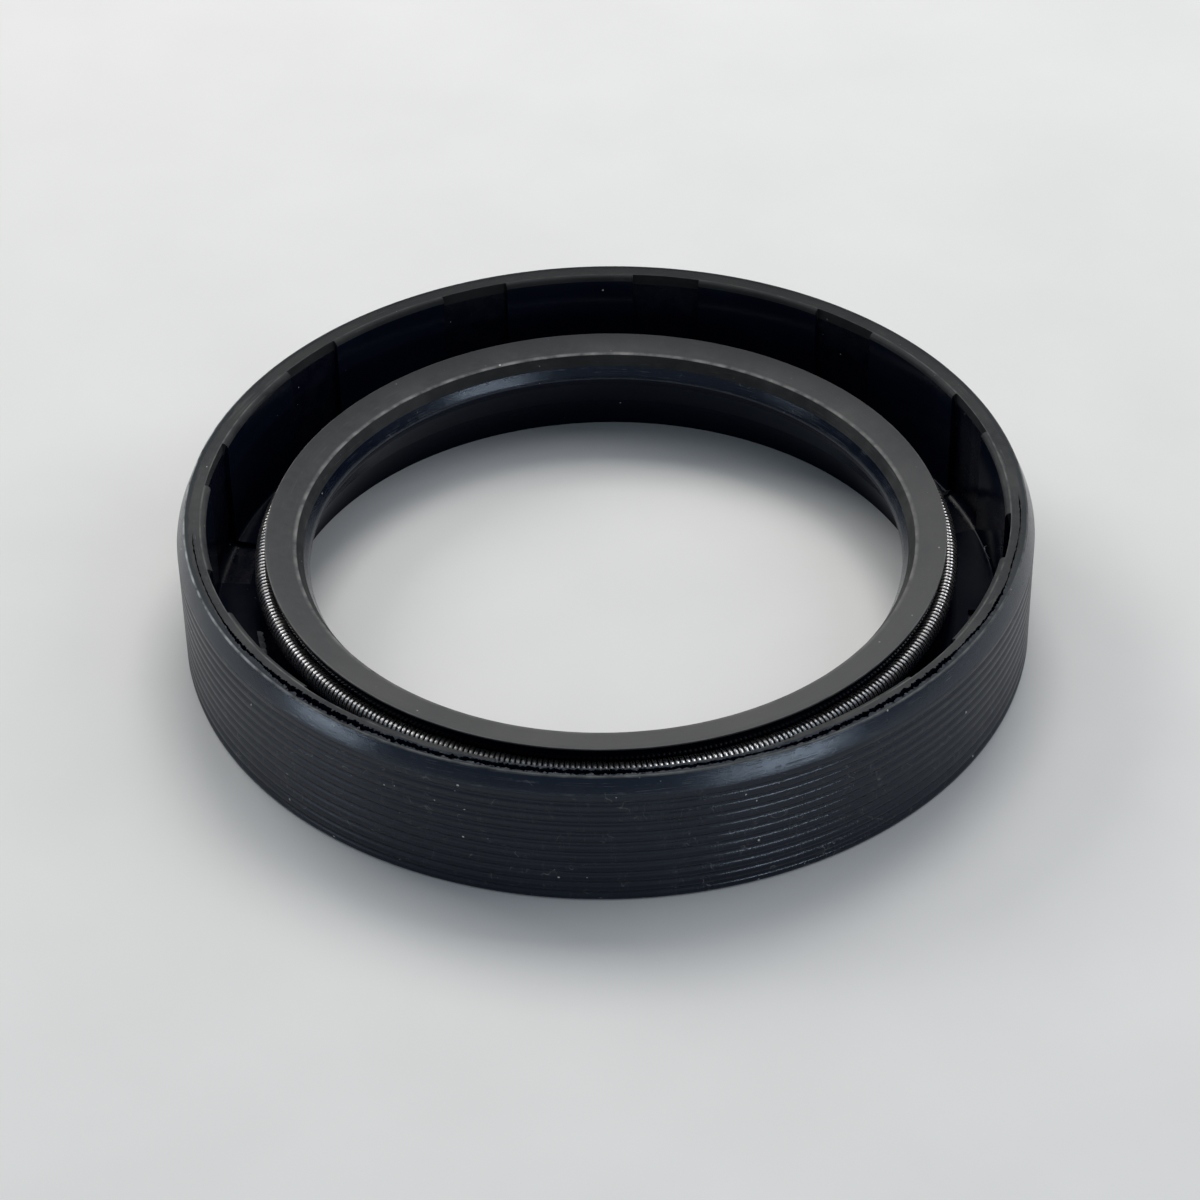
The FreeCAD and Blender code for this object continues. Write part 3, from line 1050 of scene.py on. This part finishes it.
def rubber(name, dark, hazed, gloss, dull, mark_colour, grain, bump, dust_share, shine,
           marks="Lathe", corners=(), fibre_share=0.2, stroke_share=0.4):
    """Build one rubber finish from its own colours, roughnesses, marks and corners."""
    shader, place = open_material(bpy.data.materials[name])
    feed(shader, "Specular IOR Level", shine)
    feed(shader, "Specular Tint", RUBBER_TINT)
    point = place["Point"]
    patches, clouds = haze(point, 6.0, 0.42, 0.68), haze(point, 0.8, 0.3, 0.8)
    strokes = marks_on(place[marks], point, 0.35, 0.02, 0.5)
    fibres = marks_on(point, point, 2.6, 0.006, fibre_share)
    specks = dust(point, dust_share)
    feed(shader, "Base Color", mix_colours(times(patches, 0.6), dark, hazed))
    paint_over(shader, clouds, 0.35, hazed)
    paint_over(shader, strokes, stroke_share, mark_colour)
    for corner in corners:
        paint_over(shader, worn_and_lit_corner(place, *corner), 0.8, mark_colour)
    paint_over(shader, fibres, 0.3, DUST_COLOUR)
    paint_over(shader, specks, 1.0, DUST_COLOUR)
    rough = fade(work_out("ADD", patches, clouds), 0.0, 2.0, gloss, dull)
    feed(shader, "Roughness", work_out("MAXIMUM", rough, times(specks, 0.8)))
    level = effect("skin", Point=point, Grain=grain, Wave=1.6)[0]
    level = work_out("ADD", level, times(strokes, 0.4))
    raise_skin(shader, work_out("ADD", level, times(specks, 1.5)), bump)
    return shader, place


print("recipe ready")

# %% [markdown]
# Each finish is one call with its own values. Only the ribbed wall's strokes run up and
# down, not in circles.

# %% Give each finish its values
rubber("moulded_rubber", dark=(0.0026, 0.0037, 0.0092, 1), hazed=(0.0050, 0.0064, 0.0135, 1),
       gloss=0.12, dull=0.20, mark_colour=(0.008, 0.009, 0.013, 1),
       grain=0.12, bump=0.12, dust_share=0.10, shine=0.06)
ribbed = rubber(
    "ribbed_rubber", dark=(0.0018, 0.0032, 0.0085, 1), hazed=(0.0052, 0.0072, 0.0140, 1),
    gloss=0.28, dull=0.44, mark_colour=(0.05, 0.05, 0.055, 1), grain=0.10, bump=0.4,
    dust_share=0.9, shine=0.36, marks="Drawn", fibre_share=0.42)
polished = rubber(
    "polished_rubber", dark=(0.0020, 0.0040, 0.0110, 1), hazed=(0.0052, 0.0084, 0.0170, 1),
    gloss=0.16, dull=0.28, mark_colour=(0.14, 0.145, 0.15, 1),
    grain=0.12, bump=0.6, dust_share=0.4, shine=0.53, fibre_share=0.36, stroke_share=0.25,
    corners=[(RIM_EDGE, seal_width - 0.05, 0.12)])
ground = rubber(
    "ground_rubber", dark=(0.030, 0.031, 0.031, 1), hazed=(0.080, 0.077, 0.076, 1),
    gloss=0.60, dull=0.75, mark_colour=(0.27, 0.26, 0.255, 1),
    grain=0.16, bump=0.7, dust_share=0.5, shine=0.15, stroke_share=0.08,
    corners=[(*HEAD_EDGE, 0.2), (*FACE_EDGE, 0.35)])
rim = rubber(
    "rim_rubber", dark=(0.020, 0.020, 0.020, 1), hazed=(0.070, 0.068, 0.065, 1),
    gloss=0.50, dull=0.68, mark_colour=(0.14, 0.14, 0.135, 1),
    grain=0.16, bump=1.0, dust_share=0.5, shine=0.15, stroke_share=0.3,
    corners=[(*RIM_INSIDE, 0.10), (RIM_EDGE - 0.04, seal_width - 0.04, 0.13)])
# Pale grey for the scraps of flash and the slot steps, a painted highlight
rubber("flash_and_highlight_rubber", dark=(0.24, 0.24, 0.24, 1), hazed=(0.45, 0.44, 0.43, 1),
       gloss=0.35, dull=0.5, mark_colour=(0.4, 0.4, 0.4, 1),
       grain=0.08, bump=0.7, dust_share=0.4, shine=0.5)
print("rubber finishes", ", ".join(FINISHES))

# %% [markdown]
# The rim's inner strip was rubbed grey, and its outer band kept the dark gloss of the
# mould. The border between them wanders a little, and lies further in at the front. Both
# are painted darker at the back as painted shade. The band also carries a painted
# reflection: dark at the front and greyer at the sides.

# %% Shade the rim across
FRONT_BORDER, BACK_BORDER, BAND_END = 33.42, 33.9, 34.2
STRIP_BACK_SHADE = (0.008, 0.008, 0.007, 1)
BAND_FRONT_REFLECTION, BAND_MIDDLE_REFLECTION, BAND_BACK_SHADE = (
    (0.006, 0.009, 0.015, 1), (0.020, 0.022, 0.024, 1), (0.006, 0.006, 0.006, 1))

shader, place = rim
tree = shader.id_data
back_shade = fade(place["Back"], 5.0, 30.0)
border = fade(place["Back"], -30.0, -12.0, FRONT_BORDER, BACK_BORDER)
wander = times(work_out("SUBTRACT", noise_at(place["Point"], 0.9, 4.0)[0], 0.5), 0.5)
beyond = work_out("ADD", work_out("SUBTRACT", place["Radius"], border), wander)
in_band = times(fade(beyond, -0.04, 0.06), fade(place["Radius"], BAND_END, 34.28, 1.0, 0.0))
# Painted reflection across the band, and painted shade on the strip and the band at the back
band_reflection = mix_colours(fade(place["Back"], -22.0, -8.0), BAND_FRONT_REFLECTION, BAND_MIDDLE_REFLECTION)
paint_over(shader, back_shade, 0.75, STRIP_BACK_SHADE)
paint_over(shader, in_band, 1.0, mix_colours(back_shade, band_reflection, BAND_BACK_SHADE))
polish(shader, times(in_band, 0.22))
print("rim of", len(tree.nodes), "nodes")

# %% [markdown]
# The ribs were rubbed at the front right, where they shine in lines. The lip's face gets
# a painted sheen that makes it paler at the front and at the right, and at the back it is
# darker towards its outside. At the left the rim's outer edge gets a painted highlight.

# %% Rub the ribs, and paint a sheen on the face and a highlight on the edge
RUBBED_SIDE, SHEEN_SIDE = (0.38, -0.925, 0.0), (0.012, -0.030, 0.0)
FACE_SHEEN, SHADED = (0.105, 0.102, 0.100, 1), (0.018, 0.018, 0.021, 1)
LEFT_EDGE_HIGHLIGHT = (0.42, 0.43, 0.44, 1)

shader, place = ribbed
tree = shader.id_data
polish(shader, fade(along(place["Point"], RUBBED_SIDE), 33.4, 34.6, 0.0, 0.24))

shader, place = ground
tree = shader.id_data
# Painted sheen: the face is paler towards the front and the right
paint_over(shader, fade(along(place["Point"], SHEEN_SIDE), -0.8, 0.9), 0.7, FACE_SHEEN)
shaded = times(fade(place["Radius"], 26.0, 27.9), fade(place["Back"], 0.0, 22.0))
paint_over(shader, shaded, 0.7, SHADED)

# Painted highlight on the rim's outer edge at the left, where it catches the light
for shader, place in (rim, polished):
    tree = shader.id_data
    wear_and_edge_light = worn_and_lit_corner(place, RIM_EDGE, seal_width - 0.05, 0.14)
    paint_over(shader, times(wear_and_edge_light, fade(place["Right"], -31.0, -20.0, 1.0, 0.0)), 0.8, LEFT_EDGE_HIGHLIGHT)
print("ribs, face and edge rubbed")

# %% [markdown]
# ## Spring wire
#
# The wire is drawn bright. Between the turns it is painted dark as shade, light spots of
# tarnish sit on the outside, and a stretch at the front left is painted dark and dull as
# shade.
# How deep a point lies in the coil is its distance from the coil's own middle circle.

# %% Draw the wire bright
WIRE_GAP_SHADE, WIRE_BRIGHT = (0.018, 0.016, 0.014, 1), (0.86, 0.83, 0.82, 1)
TARNISH, WIRE_SHADE = (0.38, 0.34, 0.29, 1), (0.10, 0.095, 0.095, 1)
WIRE_SHADE_SIDE = (-0.225, -0.974, 0.0)

wire = bpy.data.materials.new("bright_wire")
shader, place = open_material(wire)
from_middle = length(work_out("SUBTRACT", place["Radius"], SPRING_RADIUS),
                     work_out("SUBTRACT", place["Height"], SPRING_HEIGHT))
open_side = fade(from_middle, COIL_RADIUS - 0.08, COIL_RADIUS - 0.03)
tarnish = haze(place["Point"], 1.2, 0.5, 0.72)
wire_shade = fade(along(place["Point"], WIRE_SHADE_SIDE), 26.2, 27.6, 0.0, 0.75)
# Painted shade between the turns, and painted shade with a duller finish at the front left
feed(shader, "Base Color", mix_colours(open_side, WIRE_GAP_SHADE, WIRE_BRIGHT))
paint_over(shader, tarnish, 0.4, TARNISH)
paint_over(shader, wire_shade, 1.0, WIRE_SHADE)
rough = fade(tarnish, 0.0, 1.0, 0.20, 0.36)
feed(shader, "Roughness", work_out("ADD", rough, times(wire_shade, 0.2)))
feed(shader, "Metallic", fade(open_side, 0.0, 1.0, 0.6, 1.0))
spring.data.materials.append(wire)
print("wire of", len(tree.nodes), "nodes")

# %% [markdown]
# ## Coated steel
#
# The insert shows only in the slots. Its steel is covered with a dark bonding agent, so
# it looks like the rubber beside it, only a little blotchy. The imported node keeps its
# own shape, and only its material is changed.

# %% Coat the insert
COAT_DARK, COAT_PALE = (0.0024, 0.0034, 0.0084, 1), (0.0056, 0.0062, 0.0118, 1)

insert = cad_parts["steel_insert"]
coat = bpy.data.materials.new("coated_steel")
shader, place = open_material(coat)
feed(shader, "Specular IOR Level", 0.1)
point = place["Point"]
blotches = haze(point, 1.5, 0.35, 0.7)
feed(shader, "Base Color", mix_colours(blotches, COAT_DARK, COAT_PALE))
specks = effect("specks", Point=point, Spacing=0.8, Size=0.08, Share=0.3)[0]
paint_over(shader, specks, 0.6, DUST_COLOUR)
feed(shader, "Roughness", fade(blotches, 0.0, 1.0, 0.22, 0.34))
raise_skin(shader, effect("skin", Point=point, Grain=0.15, Wave=0.9)[0], 0.5)
for material_slot in insert.material_slots:
    material_slot.material = coat
print("insert has", len(insert.material_slots), "material slot")

# %% [markdown]
# ## Floor and light
#
# The seal lies on a plain off-white floor, which stays pale to the horizon for the camera
# and in reflections: far from the seal its colour is replaced there by an even glow.

# %% Lay the floor
FLOOR_SIZE = 60.0
FLOOR_SHADED, FLOOR_PALE = (0.698, 0.692, 0.680, 1), (0.728, 0.722, 0.710, 1)
BLACK, GLOW = (0, 0, 0, 1), (0.79, 0.79, 0.78, 1)
GLOW_START, GLOW_FULL = 160.0, 700.0

bpy.ops.object.select_all(action="DESELECT")
bpy.ops.mesh.primitive_plane_add(size=FLOOR_SIZE, location=(0, 0, 0))
floor = bpy.context.object
floor.name = "floor"
surface = bpy.data.materials.new("plain_floor")
shader, place = open_material(surface)
feed(shader, "Roughness", 0.9)
feed(shader, "Specular IOR Level", 0.0)
feed(shader, "Emission Color", GLOW)
colour = mix_colours(haze(place["Point"], 18.0, 0.3, 0.7), FLOOR_SHADED, FLOOR_PALE)
rays = put("ShaderNodeLightPath").outputs
seen = work_out("MAXIMUM", rays["Is Glossy Ray"], rays["Is Transmission Ray"])
seen = work_out("MAXIMUM", rays["Is Camera Ray"], seen)
far = times(seen, fade(place["Radius"], GLOW_START, GLOW_FULL))
feed(shader, "Base Color", mix_colours(far, colour, BLACK))
feed(shader, "Emission Strength", far)
floor.data.materials.append(surface)
print("floor", [round(value, 1) for value in floor.dimensions], "m")

# %% [markdown]
# A wide panel overhead, a soft panel behind the seal and two windows beside it give the
# grey sheen on the rim and the soft shadow in front. Two low, narrow panels give the short
# bright streaks on the taper, from far off. The rest is even, bluish room light.

# %% Hang the lights
# Azimuth and elevation in degrees, distance, width and height in metres, power in watts
PANELS = [
    ("ceiling_panel", 90, 79, 1.00, 1.00, 1.00, 1.90, (1.0, 0.99, 0.97)),
    ("back_panel", 82, 57, 0.60, 0.30, 0.26, 1.55, (1.0, 0.97, 0.92)),
    ("left_window", 136, 36, 0.60, 0.30, 0.24, 1.35, (1.0, 0.98, 0.94)),
    ("right_window", 8, 40, 0.60, 0.40, 0.30, 0.65, (0.96, 0.97, 1.0)),
    ("right_strip", 311, 6.5, 1.30, 0.62, 0.13, 2.80, (0.82, 0.91, 1.0)),
    ("left_strip", 200, 3.3, 1.30, 0.36, 0.13, 1.35, (0.82, 0.91, 1.0)),
]
ROOM_COLOUR, ROOM_STRENGTH = (0.70, 0.84, 1.0, 1), 0.27

for name, azimuth, elevation, distance, width, height, power, colour in PANELS:
    turn, rise = math.radians(azimuth), math.radians(elevation)
    towards = Vector((math.cos(turn) * math.cos(rise), math.sin(turn) * math.cos(rise),
                      math.sin(rise)))
    bpy.ops.object.light_add(type="AREA", location=towards * distance)
    panel = bpy.context.object
    panel.name = name
    panel.rotation_euler = towards.to_track_quat("Z", "Y").to_euler()
    panel.data.shape = "RECTANGLE"
    panel.data.size, panel.data.size_y = width, height
    panel.data.energy, panel.data.color = power, colour

world = bpy.data.worlds.new("room")
bpy.context.scene.world = world
world.use_nodes = True
room = world.node_tree.nodes["Background"]
feed(room, "Color", ROOM_COLOUR)
feed(room, "Strength", ROOM_STRENGTH)
print(len(PANELS), "panels and the room")

# %% [markdown]
# ## Fastening the pieces to the frame
#
# The seal has no moving parts, so everything rides on the one body. The covering and the
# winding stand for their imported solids, which are hidden but stay in the frame.

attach(covering, "root")
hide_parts("rubber_body")
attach(spring, "root")
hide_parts("garter_spring")
